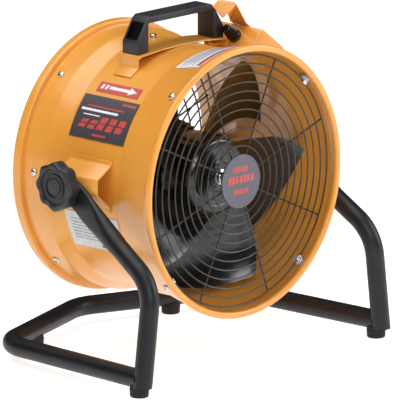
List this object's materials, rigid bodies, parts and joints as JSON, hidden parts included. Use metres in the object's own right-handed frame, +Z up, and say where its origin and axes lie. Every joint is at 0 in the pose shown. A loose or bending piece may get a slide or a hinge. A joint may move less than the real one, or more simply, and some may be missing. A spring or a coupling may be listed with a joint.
{
  "type": "portable axial blower fan",
  "caption": "Portable axial blower: a flared drum with wire grilles, impeller and motor, tilting between clamp knobs in a bent-tube stand, with a carry handle, switch box and cord hook.",
  "frame": {"origin": "on the floor, under the middle of the stand and the tilt axis", "axes": "+Z up, -Y the way the air leaves, +X to the side of the switch box; the tilt axis runs along X"},
  "size_m": [0.4586, 0.3511, 0.4495],
  "materials": {
    "orange_paint": "gloss powder coat",
    "black_paint": "satin powder coat",
    "black_plastic": "fine moulded grain",
    "black_rubber": "matt",
    "grey_wire": "coated steel wire",
    "zinc_plate": "bright zinc",
    "motor_black": "satin enamel",
    "blade_paint": "satin black",
    "badge_grey": "printed disc",
    "label_dark": "printed film",
    "label_red": "printed film",
    "label_white": "printed film"
  },
  "bodies": {
    "stand": {"base_tube": "black_paint", "left_leg": "black_paint", "right_leg": "black_paint", "front_left_foot": "black_rubber", "front_right_foot": "black_rubber", "rear_left_foot": "black_rubber", "rear_right_foot": "black_rubber"},
    "housing": {"arrow_label": "label_red", "cable_gland": "black_plastic", "capacitor": "motor_black", "cord_hook": "orange_paint", "front_badge": "badge_grey", "front_clip_1": "zinc_plate", "front_clip_2": "zinc_plate", "front_clip_3": "zinc_plate", "front_clip_4": "zinc_plate", "front_grille": "grey_wire", "front_screw_1": "zinc_plate", "front_screw_2": "zinc_plate", "front_screw_3": "zinc_plate", "front_screw_4": "zinc_plate", "handle": "black_plastic", "handle_saddle": "orange_paint", "handle_screw_left": "zinc_plate", "handle_screw_right": "zinc_plate", "housing_shell": "orange_paint", "left_bracket": "orange_paint", "left_nut": "zinc_plate", "motor_body": "motor_black", "motor_end_cover": "motor_black", "motor_screw_bottom": "zinc_plate", "motor_screw_left": "zinc_plate", "motor_screw_right": "zinc_plate", "motor_screw_top": "zinc_plate", "motor_strap_front": "motor_black", "motor_strap_rear": "motor_black", "nameplate": "label_dark", "rating_label": "zinc_plate", "rear_clip_1": "zinc_plate", "rear_clip_2": "zinc_plate", "rear_clip_3": "zinc_plate", "rear_clip_4": "zinc_plate", "rear_grille": "grey_wire", "rear_screw_1": "zinc_plate", "rear_screw_2": "zinc_plate", "rear_screw_3": "zinc_plate", "rear_screw_4": "zinc_plate", "right_bracket": "orange_paint", "right_nut": "zinc_plate", "switch_box": "orange_paint", "toggle_bush": "zinc_plate", "top_label": "label_white"},
    "impeller_set": {"impeller": "blade_paint", "hub_nut": "zinc_plate", "motor_shaft": "zinc_plate"},
    "left_knob_set": {"left_knob": "black_plastic", "left_stud": "zinc_plate"},
    "right_knob_set": {"right_knob": "black_plastic", "right_stud": "zinc_plate"},
    "switch_lever": {"toggle_lever": "zinc_plate"}
  },
  "joints": [
    {"name": "housing_tilt", "type": "hinge", "parent": "stand", "child": "housing", "pos_m": [0, 0, 0.2417], "axis": [1, 0, 0], "range_deg": [-90, 90]},
    {"name": "impeller_spin", "type": "hinge", "parent": "housing", "child": "impeller_set", "pos_m": [0, -0.055, 0.2345], "axis": [0, 1, 0], "continuous": true},
    {"name": "left_knob_turn", "type": "hinge", "parent": "housing", "child": "left_knob_set", "pos_m": [-0.2, 0, 0.2417], "axis": [1, 0, 0], "continuous": true},
    {"name": "right_knob_turn", "type": "hinge", "parent": "housing", "child": "right_knob_set", "pos_m": [0.2, 0, 0.2417], "axis": [1, 0, 0], "continuous": true},
    {"name": "switch_toggle", "type": "hinge", "parent": "housing", "child": "switch_lever", "pos_m": [0.11205, 0.0242, 0.37792], "axis": [0.788, 0, -0.6157], "range_deg": [-12, 12]}
  ]
}
